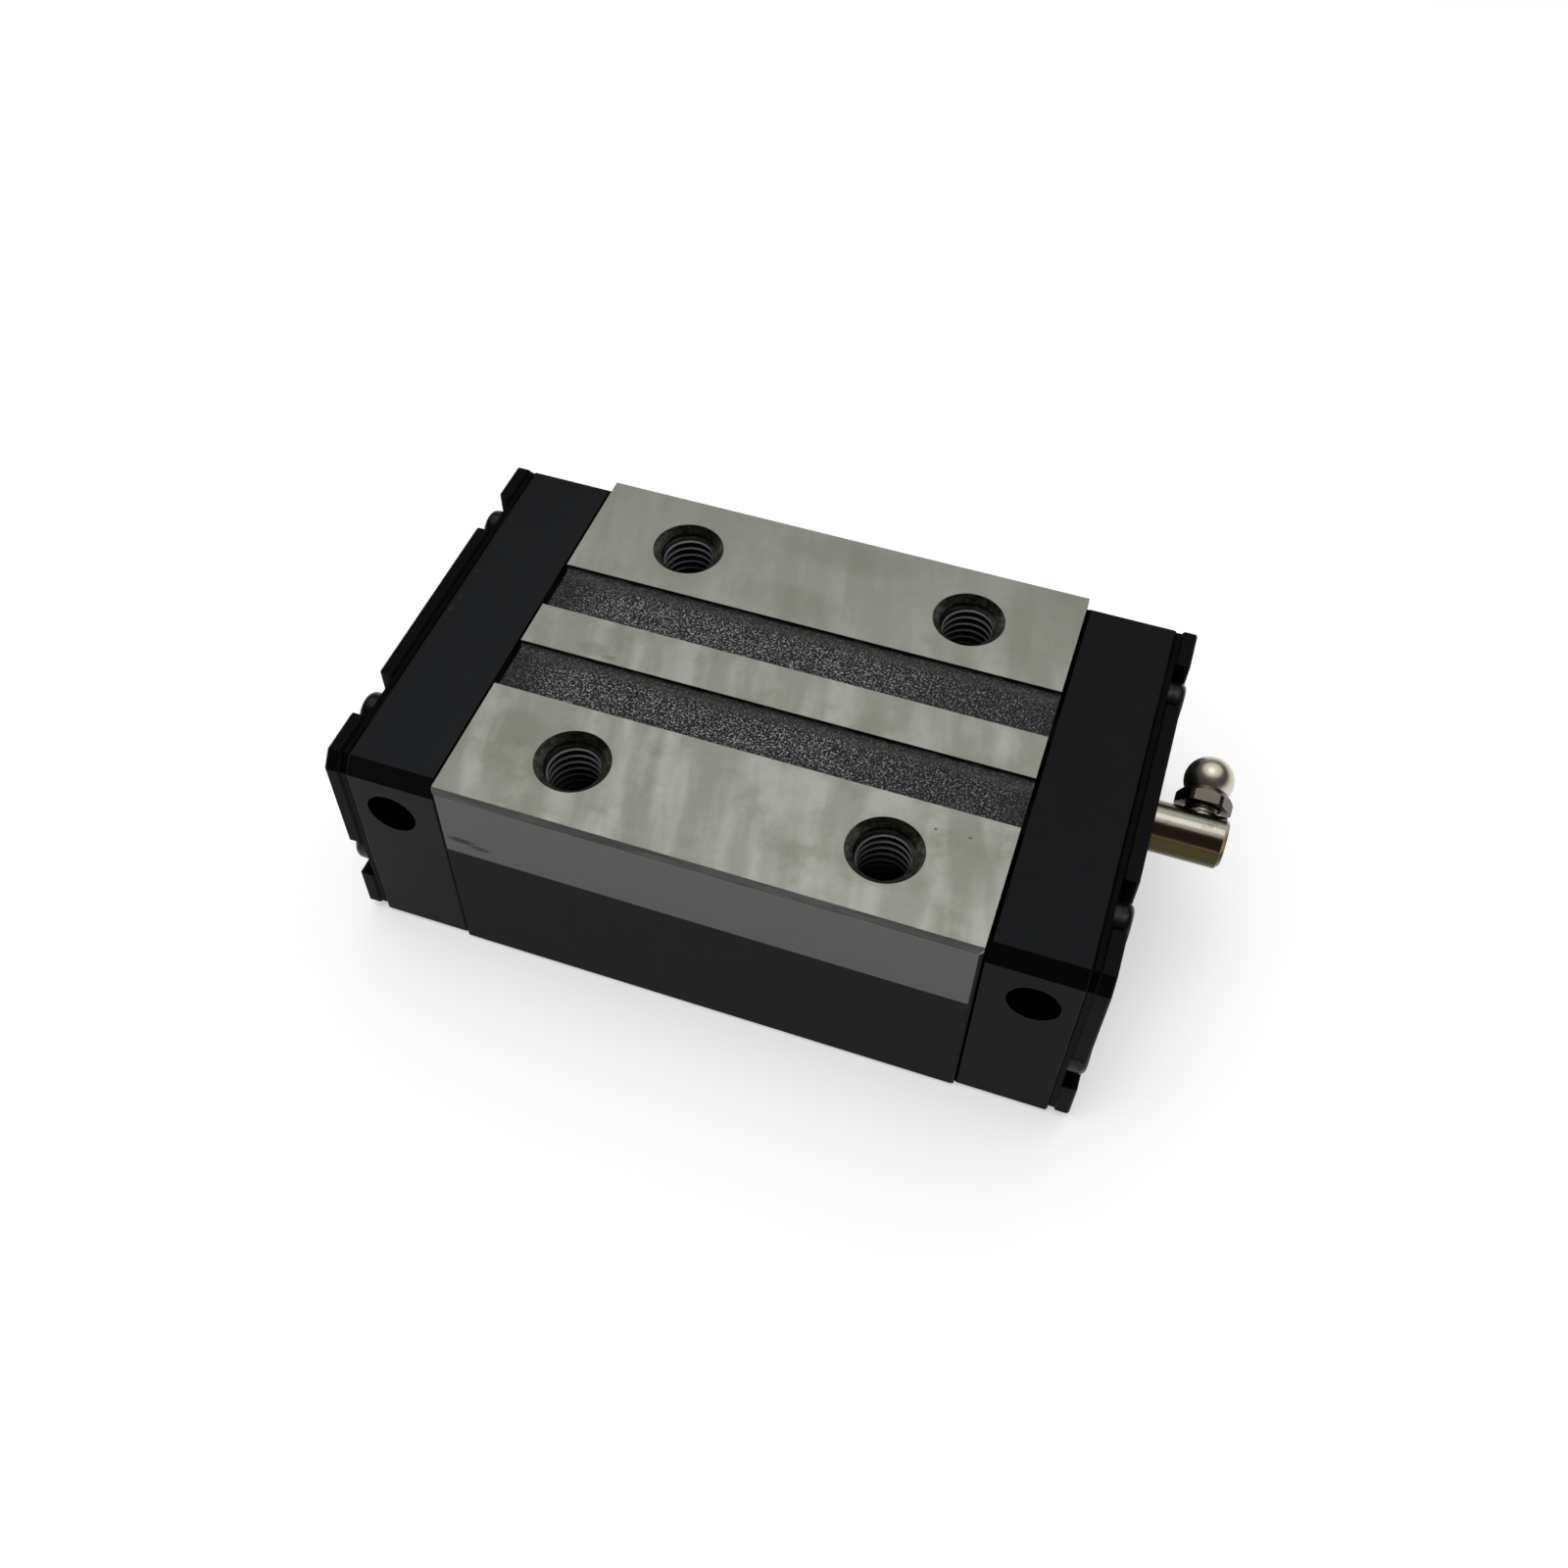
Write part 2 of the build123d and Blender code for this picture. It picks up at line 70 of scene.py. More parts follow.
# Sky: the level all round, the band low down, and a patch with its direction and cosine at its edge
SKY_LEVEL = 0.055
SKY_LOW_LEVEL = 0.6
SKY_LOW_EDGE = (0.19, 0.10)
SKY_PATCH_LEVEL = 0.85
SKY_PATCH = (0.0, 0.342, 0.940)
SKY_PATCH_EDGE = (0.79, 0.06)

# Softboxes facing the origin: name, place and side in metres, radiance, whether metal mirrors them
SOFTBOXES = (
    ("key_softbox", (0.0, 0.20, 1.0), 0.45, 0.9, True),
    ("fill_softbox", (-0.35, -0.5, 1.3), 1.2, 1.2, False),
)
RADIANCE_WATTS = 4

# Floor: side in metres, height and gap under the part in millimetres, and its own light where seen
FLOOR_SIDE = 8.0
FLOOR_Z = -33.0
FLOOR_GAP = 0.05
FLOOR_LIFT = 0.43
FLOOR_GREYS = (grey(0.90), grey(0.93))

# Runner block, in millimetres as in the CAD
HOLE_PITCH = 40.0
HOLE_MOUTH_RADIUS = 4.9
HOLE_EDGE = (HOLE_MOUTH_RADIUS + 0.05, 0.06)
TOP_EDGE = (-0.04, 0.04)
CHAMFER_EDGE_Y = (29.3, 0.05)
CHAMFER_EDGE_Z = (-0.72, 0.04)
SIDE_EDGE_Y = (29.9, 0.02)
SIDE_EDGE_Z = (-11.8, 0.1)
GROOVE_INNER_Y = 3.5
GROOVE_OUTER_Y = 11.55
GROOVE_EDGE = (GROOVE_OUTER_Y, 0.05)
GROOVE_BAND = (-1.3, -0.06, 0.04)

# Where its finishes and colours change: the top is painted darker towards the back as shade; a
# groove is speckled between its near edge and a margin painted lighter against the far wall's
# shadow, and towards the middle of its length; the countersinks are oily, and painted darker at the
# back as shade
TOP_SHADED_BACK_Y = (10.0, 46.0)
SPECKLED_REACH = (1.0, 7.0, 2.6)
LIFTED_MARGIN_REACH = (6.8, 1.6)
SPECKLED_X = (-29.5, 33.0, 7.0)
FADING_X = (16.0, 22.0)
WALL_SHADE_Z = (-0.6, 0.3)
CONE_Z = (-1.2, 0.5)
CONE_SHADE_EDGE = (2.6, 2.6)

# Its colours; a pair runs from the darker to the lighter
# Painted reflections: the top's two greys and the band colour form leaning streaks across the
# grinding marks
TOP_GROUND = (grey(0.33, (1.0, 1.005, 0.89)), grey(0.51, (1.0, 1.005, 0.93)))
TOP_REFLECTION_BAND = grey(0.36, (1.0, 1.01, 0.91))
TOP_BLOTCH = (0.27, 0.275, 0.21, 1.0)
TOP_MOTTLE = (0.24, 0.24, 0.18, 1.0)
TOP_STAIN = (0.205, 0.205, 0.15, 1.0)
TOP_SPECK = grey(0.12)
TOP_MARK = grey(0.03)
CHAMFER_GROUND = (grey(0.30, (1.0, 1.0, 0.94)), grey(0.47, (1.0, 1.0, 0.96)))
# Painted shade: the side's ground strip is the top's steel painted darker
SIDE_GROUND_SHADED = (grey(0.092), grey(0.125, (1.0, 1.0, 0.98)))
SIDE_SMUDGE = grey(0.02, (1.0, 1.0, 0.9))
SIDE_BLACKENED = (grey(0.0135, (0.97, 0.98, 1.1)), grey(0.0175, (0.97, 0.98, 1.1)))
SIDE_OILED = (0.012, 0.012, 0.0105, 1.0)
GROOVE_PITS = (grey(0.030, (1.0, 0.98, 1.0)), grey(0.053, (1.0, 0.98, 1.04)))
GROOVE_CRESTS = (grey(0.11, (1.0, 0.98, 1.0)), grey(0.66, (1.0, 0.98, 0.99)))
# Painted light: flat lighter greys for the margin by the far wall, lifting its shadow
GROOVE_LIFTED_MARGIN = (grey(0.10, (1.0, 0.99, 0.97)), grey(0.28, (1.0, 0.99, 0.97)))
# Painted shade: the groove walls
GROOVE_WALL_SHADE = grey(0.012)
CONE_WIPED = (grey(0.06, (1.0, 1.0, 0.75)), grey(0.19, (1.0, 1.0, 0.88)))
# Painted shade: the countersinks' back, with the same oily mottle
CONE_BACK_OIL_AND_SHADE = (grey(0.012, (1.0, 1.0, 0.7)), grey(0.055, (1.0, 1.0, 0.7)))
# Painted shade: black inside the holes below the countersinks
HOLE_SHADE_BLACK = grey(0.01)
# Painted shade and highlight in the threads: near black flanks, bright crests
THREAD_FLANK_SHADE = (grey(0.010), grey(0.035, (1.0, 1.0, 1.05)))
THREAD_CREST_HIGHLIGHT = (grey(0.17, (1.0, 1.0, 1.08)), grey(0.38, (1.0, 1.0, 1.08)))

# How metallic it is; the top is less so, and stays grey where it faces the dim part of the sky
TOP_METALLIC = 0.6
GROOVE_METALLIC = 0.5
CONE_METALLIC = 0.75
THREAD_METALLIC = 0.35
BLACK_METALLIC = 0.92

# How rough it is
TOP_ROUGH = (0.26, 0.38)
SIDE_ROUGH = 0.34
GROOVE_ROUGH = 0.5
HOLE_ROUGH = 0.3
BLACK_ROUGH = 0.42

# Dull black surfaces keep only a share of the usual glare at grazing angles
DULL_EDGES = {"Specular IOR Level": 0.09, "Specular Tint": grey(0.6)}

# Elbow and nipple, in millimetres and then in colours
ELBOW_Z = -7.2
# Painted on the elbow: its back darker as tarnish and shade, a brown reflection band, a dim
# reflection lower down
ELBOW_TARNISH_SHADE_Y = (0.25, 0.5)
ELBOW_DARK_REFLECTION_Z = (-5.3, 0.5)
ELBOW_BROWN_REFLECTION_Z = (-5.6, -4.3, 0.5)
NIPPLE_X = 55.2
NIPPLE_TURN = math.radians(-70)
NIPPLE_AXIS = (0.0, 0.939693, 0.34202)
NIPPLE_PLACE = Matrix.Translation((NIPPLE_X, 0, ELBOW_Z)) @ Matrix.Rotation(NIPPLE_TURN, 4, "X")
NIPPLE_NUT_EDGE = (6.05, 0.2)
ELBOW_NICKEL = ((0.31, 0.30, 0.255, 1.0), (0.40, 0.387, 0.33, 1.0))
ELBOW_STAIN = (0.28, 0.26, 0.18, 1.0)
# Painted colours of the elbow: tarnish and shade, dim reflection, brown reflection band
ELBOW_TARNISH_AND_SHADE = ((0.14, 0.148, 0.115, 1.0), (0.20, 0.208, 0.165, 1.0))
ELBOW_DARK_REFLECTION = ((0.045, 0.038, 0.013, 1.0), (0.070, 0.059, 0.022, 1.0))
ELBOW_BROWN_REFLECTION = (0.23, 0.145, 0.085, 1.0)
NIPPLE_NICKEL = ((0.50, 0.47, 0.35, 1.0), (0.74, 0.70, 0.55, 1.0))
# Painted shade: the nut's brown tone darkened
NIPPLE_NUT_BROWN_SHADE = ((0.095, 0.078, 0.068, 1.0), (0.16, 0.135, 0.12, 1.0))

# Threads: radii of root and crest, pitch, and where each starts and ends along its own axis. A root
# stands a little off the CAD's plain surface. The flat of a root or crest is a share of the pitch.
HOLE_THREAD = (3.98, 3.32, 1.25)
HOLE_THREAD_ENDS = (-0.9, -9.9)
HOLE_THREAD_TOP = (-1.6, 0.25)
# Painted light: the crests are lit near the mouth and fade into painted shade with depth
HOLE_THREAD_LIT = (-5.8, 6.5)
HOLE_CREST_EDGE = (HOLE_THREAD[1] + 0.16, 0.2)
PORT_THREAD = (2.48, 2.1, 0.8)
PORT_THREAD_ENDS = (25.95, 21.55)
PORT_X = 41.4
PORT_Z = -8.4
NIPPLE_THREAD = (2.01, 2.35, 0.5)
NIPPLE_THREAD_ENDS = (2.3, 3.74)
THREAD_FLAT = 0.125
TURN_STEPS = 72

# Valve spring in the nipple: coil and wire radii, turns, ends of the wire's centre line along the
# nipple's axis, steps per turn and sides round the wire
SPRING_COIL = (0.72, 0.13)
SPRING_TURNS = 6
SPRING_ENDS = (4.802, 8.188)
SPRING_STEPS = 24
WIRE_SIDES = 10

# Edges sharper than this, in degrees, stay sharp
SMOOTH_ANGLE = 30
# Corners of a mesh nearer than this, in millimetres, are one
WELD_DISTANCE = 1e-4

# Small marks, in millimetres: centre, half sizes, strength
TOP_SPECKS = (((24.9, -15.1, 0), (0.22, 0.18, 1), 0.7), ((29.1, -15.0, 0), (0.22, 0.15, 1), 0.7))
TOP_STAINS = (
    ((-29.0, -17.5, 0), (4.0, 3.0, 1), 0.5),
    ((-5.0, 15.0, 0), (7.0, 3.0, 1), 0.4),
    ((-25.0, -1.8, 0), (1.8, 1.2, 1), 0.6),
    ((-22.5, -2.6, 0), (1.0, 0.4, 1), 0.8),
    ((30.0, -18.0, 0), (5.0, 6.0, 1), 0.4),
    ((2.0, 26.0, 0), (9.0, 3.0, 1), 0.4),
    ((30.0, 22.0, 0), (7.0, 9.0, 1), 0.45),
)
SIDE_SMUDGES = (
    ((-31.6, -30.0, -9.0), (1.7, 1, 0.5), 0.7),
    ((-29.2, -30.0, -9.7), (1.5, 1, 0.4), 0.6),
)
CAP_SPECKS = (
    ((-45.9, -1.0, -0.5), (0.3, 0.6, 1), 0.9),
    ((-45.6, 1.2, -0.5), (0.22, 0.22, 1), 0.9),
    ((-45.8, 6.5, -0.5), (0.18, 0.35, 1), 0.7),
)
# How far ragged noise carries a mark past its half sizes, and its edge
MARK_REACH = 0.75
MARK_EDGE = (0.25, 0.8)


# Node helpers: an input is either another node's socket or a plain value
def set_inputs(tree, node, inputs):
    for key, value in inputs.items():
        if isinstance(value, bpy.types.NodeSocket):
            tree.links.new(value, node.inputs[key])
        else:
            node.inputs[key].default_value = value


def add_node(tree, kind, inputs=None, **settings):
    made = tree.nodes.new(kind)
    for name, value in settings.items():
        setattr(made, name, value)
    set_inputs(tree, made, inputs or {})
    return made


def math_node(tree, operation, *values):
    made = add_node(tree, "ShaderNodeMath", dict(enumerate(values)), operation=operation)
    return made.outputs[0]


def vector_node(tree, operation, *values):
    made = add_node(tree, "ShaderNodeVectorMath", dict(enumerate(values)), operation=operation)
    return made.outputs[1 if operation in ("LENGTH", "DOT_PRODUCT") else 0]


def product(tree, first, second):
    return math_node(tree, "MULTIPLY", first, second)


def inverted(tree, value):
    return math_node(tree, "SUBTRACT", 1.0, value)


def mix_colour(tree, factor, first, second):
    inputs = {0: factor, 6: first, 7: second}
    return add_node(tree, "ShaderNodeMix", inputs, data_type="RGBA").outputs[2]


def mix_value(tree, factor, first, second):
    inputs = {0: factor, 2: first, 3: second}
    return add_node(tree, "ShaderNodeMix", inputs, data_type="FLOAT").outputs[0]


# Layers over a base, each as its mask and what shows there
def overlaid(tree, mix, base, *layers):
    for mask, layer in layers:
        base = mix(tree, mask, base, layer)
    return base


# From nought to one across an edge
def step(tree, value, edge, width):
    inputs = {0: value, 1: edge - width / 2, 2: edge + width / 2, 3: 0.0, 4: 1.0}
    made = add_node(tree, "ShaderNodeMapRange", inputs, interpolation_type="SMOOTHSTEP")
    return made.outputs[0]


def band(tree, value, low, high, width):
    below = inverted(tree, step(tree, value, high, width))
    return product(tree, step(tree, value, low, width), below)


def noise(tree, place, scale, detail=3.0, roughness=0.5):
    inputs = {"Vector": place, "Scale": scale, "Detail": detail, "Roughness": roughness}
    return add_node(tree, "ShaderNodeTexNoise", inputs).outputs[0]


def axes(tree, place):
    return add_node(tree, "ShaderNodeSeparateXYZ", {0: place}).outputs


# Noise drawn out along an axis: noise per millimetre along each axis, and how much it leans in plan
def streaky_noise(tree, place, scales, detail, roughness, lean=0.0):
    drawn = vector_node(tree, "MULTIPLY", place, scales)
    if lean:
        aside = product(tree, axes(tree, place)[1], lean * scales[0])
        offset = add_node(tree, "ShaderNodeCombineXYZ", {0: aside}).outputs[0]
        drawn = vector_node(tree, "ADD", drawn, offset)
    return noise(tree, drawn, 1.0, detail, roughness)


# How far a list of marks covers each point: the strongest of its ragged spots
def marks_mask(tree, place, marks):
    ragged = noise(tree, place, 1.3, 4.0, 0.7)
    covered = 0.0
    for centre, halves, strength in marks:
        offset = vector_node(tree, "SUBTRACT", place, centre)
        shrunk = vector_node(tree, "MULTIPLY", offset, tuple(1 / half for half in halves))
        distance = vector_node(tree, "LENGTH", shrunk)
        inside = math_node(tree, "SUBTRACT", math_node(tree, "ADD", ragged, MARK_REACH), distance)
        spot = product(tree, step(tree, inside, *MARK_EDGE), strength)
        covered = math_node(tree, "MAXIMUM", covered, spot)
    return covered


def bump(tree, height, distance_mm):
    inputs = {"Height": height, "Strength": 1.0, "Distance": distance_mm * MM}
    return add_node(tree, "ShaderNodeBump", inputs).outputs[0]


# A new material with its node tree, shader and place on the object in millimetres
def new_material(name):
    material = bpy.data.materials.new(name)
    material.use_nodes = True
    tree = material.node_tree
    coordinates = add_node(tree, "ShaderNodeTexCoord").outputs["Object"]
    scaling = {0: coordinates, 3: 1 / MM}
    place = add_node(tree, "ShaderNodeVectorMath", scaling, operation="SCALE").outputs[0]
    return material, tree, tree.nodes["Principled BSDF"], place


# Distance from the axis of the nearest mounting hole
def hole_distance(tree, x, y):
    aside = {}
    for number, way in enumerate((x, y)):
        reach = math_node(tree, "ABSOLUTE", way)
        aside[number] = math_node(tree, "SUBTRACT", reach, HOLE_PITCH / 2)
    offset = add_node(tree, "ShaderNodeCombineXYZ", aside).outputs[0]
    return vector_node(tree, "LENGTH", offset)


# How far a point of either groove lies from that groove's near edge
def groove_reach(tree, y):
    across = math_node(tree, "ABSOLUTE", y)
    in_near = math_node(tree, "SUBTRACT", GROOVE_OUTER_Y, across)
    in_far = math_node(tree, "SUBTRACT", across, GROOVE_INNER_Y)
    return mix_value(tree, math_node(tree, "GREATER_THAN", y, 0.0), in_near, in_far)


# Oil in the countersinks, thinner at the sides; the back painted near black as shade under the same
# mottle
def cone_colour(tree, place):
    y = axes(tree, place)[1]
    row = product(tree, math_node(tree, "SIGN", y), HOLE_PITCH / 2)
    clear = step(tree, noise(tree, place, 1.2, 3.0, 0.6), 0.52, 0.4)
    behind = step(tree, math_node(tree, "SUBTRACT", y, row), *CONE_SHADE_EDGE)
    wiped = mix_colour(tree, clear, *CONE_WIPED)
    oil_and_shade = mix_colour(tree, clear, *CONE_BACK_OIL_AND_SHADE)
    return mix_colour(tree, behind, wiped, oil_and_shade)


# Ground top: leaning streaks and bands of painted reflection, smeared across the grinding marks,
# under blotches, stains and specks
def top_colour(tree, place, blotches):
    smeared_reflections = streaky_noise(tree, place, (0.19, 0.035, 0.3), 3.0, 0.5, lean=0.2)
    reflection_bands = streaky_noise(tree, place, (0.09, 0.02, 0.1), 2.0, 0.5, lean=0.2)
    mottles = noise(tree, place, 0.55, 5.0, 0.7)
    specks = noise(tree, place, 1.1, 2.0, 0.5)
    y = axes(tree, place)[1]
    return overlaid(
        tree,
        mix_colour,
        mix_colour(tree, step(tree, smeared_reflections, 0.52, 0.22), *TOP_GROUND),
        (product(tree, step(tree, reflection_bands, 0.5, 0.4), 0.4), TOP_REFLECTION_BAND),
        (product(tree, step(tree, blotches, 0.58, 0.25), 0.75), TOP_BLOTCH),
        (product(tree, step(tree, mottles, 0.58, 0.2), 0.2), TOP_MOTTLE),
        # Painted shade: the top darker towards the back
        (product(tree, step(tree, y, *TOP_SHADED_BACK_Y), 0.75), TOP_GROUND[0]),
        (product(tree, marks_mask(tree, place, TOP_STAINS), 0.7), TOP_STAIN),
        (product(tree, step(tree, specks, 0.77, 0.03), 0.35), TOP_SPECK),
        (marks_mask(tree, place, TOP_SPECKS), TOP_MARK),
    )


# Rough grooves: pits and bright crests, a margin at the back painted lighter against the far wall's
# shadow, walls painted near black as shade
def groove_colour(tree, place, grain, cloudy):
    x, y, z = axes(tree, place)
    ragged = math_node(tree, "MULTIPLY_ADD", cloudy, 3.0, -1.5)
    reach = math_node(tree, "ADD", ragged, groove_reach(tree, y))
    drifting = math_node(tree, "ADD", x, ragged)
    middle = math_node(tree, "MULTIPLY_ADD", band(tree, drifting, *SPECKLED_X), 0.8, 0.2)
    fading = math_node(tree, "MULTIPLY_ADD", step(tree, drifting, *FADING_X), -0.5, 1.0)
    lively = product(tree, band(tree, reach, *SPECKLED_REACH), product(tree, middle, fading))
    # Painted light in the margin by the far wall
    lifted_margin = step(tree, reach, *LIFTED_MARGIN_REACH)
    pits = mix_colour(tree, lifted_margin, mix_colour(tree, cloudy, *GROOVE_PITS), GROOVE_LIFTED_MARGIN[0])
    crests = mix_colour(tree, lifted_margin, mix_colour(tree, lively, *GROOVE_CRESTS), GROOVE_LIFTED_MARGIN[1])
    rough = mix_colour(tree, step(tree, grain, 0.60, 0.24), pits, crests)
    # Painted shade: the walls near black
    wall_shade = step(tree, math_node(tree, "MULTIPLY_ADD", ragged, 0.3, z), *WALL_SHADE_Z)
    return mix_colour(tree, wall_shade, rough, GROOVE_WALL_SHADE)


# Runner block: ground top, chamfers and sides, the ground side painted darker as shade, grooves,
# blackened lower sides, oily holes painted black inside as shade
def runner_material():
    material, tree, shader, place = new_material("ground_steel")
    x, y, z = axes(tree, place)
    across = math_node(tree, "ABSOLUTE", y)
    blotches = noise(tree, place, 0.11, 4.0, 0.62)
    cloudy = noise(tree, place, 0.35, 3.0, 0.6)
    grain = noise(tree, place, 4.0, 1.6, 0.5)
    scratches = streaky_noise(tree, place, (0.12, 9.0, 9.0), 3.0, 0.6)
    nicks = streaky_noise(tree, place, (0.12, 1.0, 1.0), 3.0, 0.6)

    top = step(tree, z, *TOP_EDGE)
    chamfer = product(tree, step(tree, across, *CHAMFER_EDGE_Y), step(tree, z, *CHAMFER_EDGE_Z))
    side = product(tree, step(tree, across, *SIDE_EDGE_Y), step(tree, z, *SIDE_EDGE_Z))
    between = inverted(tree, step(tree, across, *GROOVE_EDGE))
    groove = product(tree, band(tree, z, *GROOVE_BAND), between)
    hole = inverted(tree, step(tree, hole_distance(tree, x, y), *HOLE_EDGE))
    bare = math_node(tree, "MAXIMUM", top, math_node(tree, "MAXIMUM", side, chamfer))

    oiled = product(tree, step(tree, cloudy, 0.6, 0.2), 0.5)
    lower_side = mix_colour(tree, oiled, mix_colour(tree, blotches, *SIDE_BLACKENED), SIDE_OILED)
    smudged = marks_mask(tree, place, SIDE_SMUDGES)
    upper_side = mix_colour(tree, smudged, mix_colour(tree, scratches, *SIDE_GROUND_SHADED), SIDE_SMUDGE)
    colour = overlaid(
        tree,
        mix_colour,
        lower_side,
        (groove, groove_colour(tree, place, grain, cloudy)),
        (side, upper_side),
        (chamfer, mix_colour(tree, step(tree, nicks, 0.5, 0.4), *CHAMFER_GROUND)),
        # Painted shade: black in the holes below the countersinks
        (hole, mix_colour(tree, step(tree, z, *CONE_Z), HOLE_SHADE_BLACK, cone_colour(tree, place))),
        (top, top_colour(tree, place, blotches)),
    )
    metallic = overlaid(
        tree,
        mix_value,
        BLACK_METALLIC,
        (groove, GROOVE_METALLIC),
        (bare, 1.0),
        (hole, CONE_METALLIC),
        (top, TOP_METALLIC),
    )
    rough = overlaid(
        tree,
        mix_value,
        BLACK_ROUGH,
        (hole, HOLE_ROUGH),
        (top, mix_value(tree, scratches, *TOP_ROUGH)),
        (side, SIDE_ROUGH),
        (groove, GROOVE_ROUGH),
    )
    height = math_node(tree, "ADD", product(tree, scratches, 0.05), product(tree, grain, groove))
    normal = bump(tree, height, 0.35)
    inputs = {"Base Color": colour, "Metallic": metallic, "Roughness": rough, "Normal": normal}
    set_inputs(tree, shader, {**inputs, **DULL_EDGES})
    return material


# Threads in the mounting holes: crests painted bright as highlight near the mouth, flanks painted
# black as shade, and darker with depth as painted shade
def thread_material():
    material, tree, shader, place = new_material("thread_painted_light_and_shade")
    x, y, z = axes(tree, place)
    mottled = noise(tree, place, 2.5, 4.0, 0.6)
    crest = inverted(tree, step(tree, hole_distance(tree, x, y), *HOLE_CREST_EDGE))
    lit = product(tree, crest, step(tree, z, *HOLE_THREAD_LIT))
    coned = step(tree, z, *HOLE_THREAD_TOP)
    shaded_flanks = mix_colour(tree, mottled, *THREAD_FLANK_SHADE)
    crests = mix_colour(tree, mottled, *THREAD_CREST_HIGHLIGHT)
    threaded = mix_colour(tree, lit, shaded_flanks, crests)
    metallic = mix_value(tree, lit, 1.0, THREAD_METALLIC)
    inputs = {
        "Base Color": mix_colour(tree, coned, threaded, cone_colour(tree, place)),
        "Metallic": mix_value(tree, coned, metallic, CONE_METALLIC),
        "Roughness": mix_value(tree, mottled, 0.24, 0.4),
        "Normal": bump(tree, mottled, 0.006),
    }
    set_inputs(tree, shader, inputs)
    return material


# Balls, screws and small parts
def metal_material(name, greys, rough, scale, metallic=1.0, tint=(1.0, 1.0, 1.0)):
    material, tree, shader, place = new_material(name)
    mottled = noise(tree, place, scale, 4.0, 0.6)
    colours = (grey(value, tint) for value in greys)
    inputs = {
        "Base Color": mix_colour(tree, step(tree, mottled, 0.5, 0.5), *colours),
        "Metallic": metallic,
        "Roughness": mix_value(tree, mottled, *rough),
        "Normal": bump(tree, mottled, 0.01),
    }
    set_inputs(tree, shader, inputs)
    return material


# Elbow: nickel with stains; its back painted darker as tarnish and shade, a band painted brown as a
# reflection, and lower down painted dark olive as a dim reflection
def elbow_finish(tree, place, drawn, stains):
    y, z = axes(tree, place)[1:]
    # Painted dim reflection: dark olive for the lower part
    bare = mix_colour(tree, drawn, *ELBOW_DARK_REFLECTION)
    tarnish_and_shade = mix_colour(tree, drawn, *ELBOW_TARNISH_AND_SHADE)
    plated = overlaid(
        tree,
        mix_colour,
        mix_colour(tree, drawn, *ELBOW_NICKEL),
        (step(tree, stains, 0.6, 0.2), ELBOW_STAIN),
        (step(tree, y, *ELBOW_TARNISH_SHADE_Y), tarnish_and_shade),
    )
    colour = mix_colour(tree, step(tree, z, *ELBOW_DARK_REFLECTION_Z), bare, plated)
    colour = mix_colour(tree, band(tree, z, *ELBOW_BROWN_REFLECTION_Z), colour, ELBOW_BROWN_REFLECTION)
    return colour, mix_value(tree, drawn, 0.12, 0.22)


# Nipple: nickel, with a nut painted dark brown: a brown tone with painted shade for the dim
# reflection of its faces
def nipple_finish(tree, place, drawn, stains):
    from_elbow = vector_node(tree, "SUBTRACT", place, (0, 0, ELBOW_Z))
    reach = vector_node(tree, "DOT_PRODUCT", from_elbow, NIPPLE_AXIS)
    past_nut = step(tree, reach, *NIPPLE_NUT_EDGE)
    nut_brown_shade = mix_colour(tree, stains, *NIPPLE_NUT_BROWN_SHADE)
    colour = mix_colour(tree, past_nut, nut_brown_shade, mix_colour(tree, stains, *NIPPLE_NICKEL))
    return colour, mix_value(tree, stains, 0.24, 0.36)


def brass_material(name, finish):
    material, tree, shader, place = new_material(name)
    drawn = streaky_noise(tree, place, (0.35, 6.0, 6.0), 3.0, 0.6)
    stains = noise(tree, place, 0.7, 3.0, 0.6)
    colour, rough = finish(tree, place, drawn, stains)
    normal = bump(tree, drawn, 0.008)
    inputs = {"Base Color": colour, "Metallic": 1.0, "Roughness": rough, "Normal": normal}
    set_inputs(tree, shader, inputs)
    return material


# Moulded resin and rubber: near black with a dull sheen, a faint mould grain and grease marks.
# The grain is its noise per millimetre and its depth.
def black_material(name, greys, rough, grain, specks=()):
    material, tree, shader, place = new_material(name)
    cloud = noise(tree, place, 0.12, 3.0, 0.6)
    moulded = noise(tree, place, grain[0], 3.0, 0.6)
    greasy = step(tree, noise(tree, place, 1.4, 4.0, 0.65), 0.70, 0.08)
    colours = (grey(value, (0.95, 1.0, 1.06)) for value in greys)
    grease = grey(greys[1] * 1.5, (1.0, 1.0, 0.85))
    colour = mix_colour(tree, cloud, *colours)
    colour = mix_colour(tree, product(tree, greasy, 0.3), colour, grease)
    if specks:
        speck = grey(0.035, (1.0, 1.0, 0.6))
        colour = mix_colour(tree, marks_mask(tree, place, specks), colour, speck)
    inputs = {
        "Base Color": colour,
        "Metallic": BLACK_METALLIC,
        "Roughness": mix_value(tree, greasy, mix_value(tree, cloud, *rough), rough[0] - 0.1),
        "Normal": bump(tree, moulded, grain[1]),
    }
    set_inputs(tree, shader, {**inputs, **DULL_EDGES})
    return material


CAP_FINISH = {"rough": (0.24, 0.30), "grain": (7.0, 0.010)}
BRIGHT_TINT = (1.0, 0.97, 0.86)
# Threads with painted highlight and shade
THREAD_LIGHT_AND_SHADE = thread_material()
BRIGHT_THREAD = metal_material("bright_thread", (0.30, 0.50), (0.15, 0.28), 1.5, tint=BRIGHT_TINT)
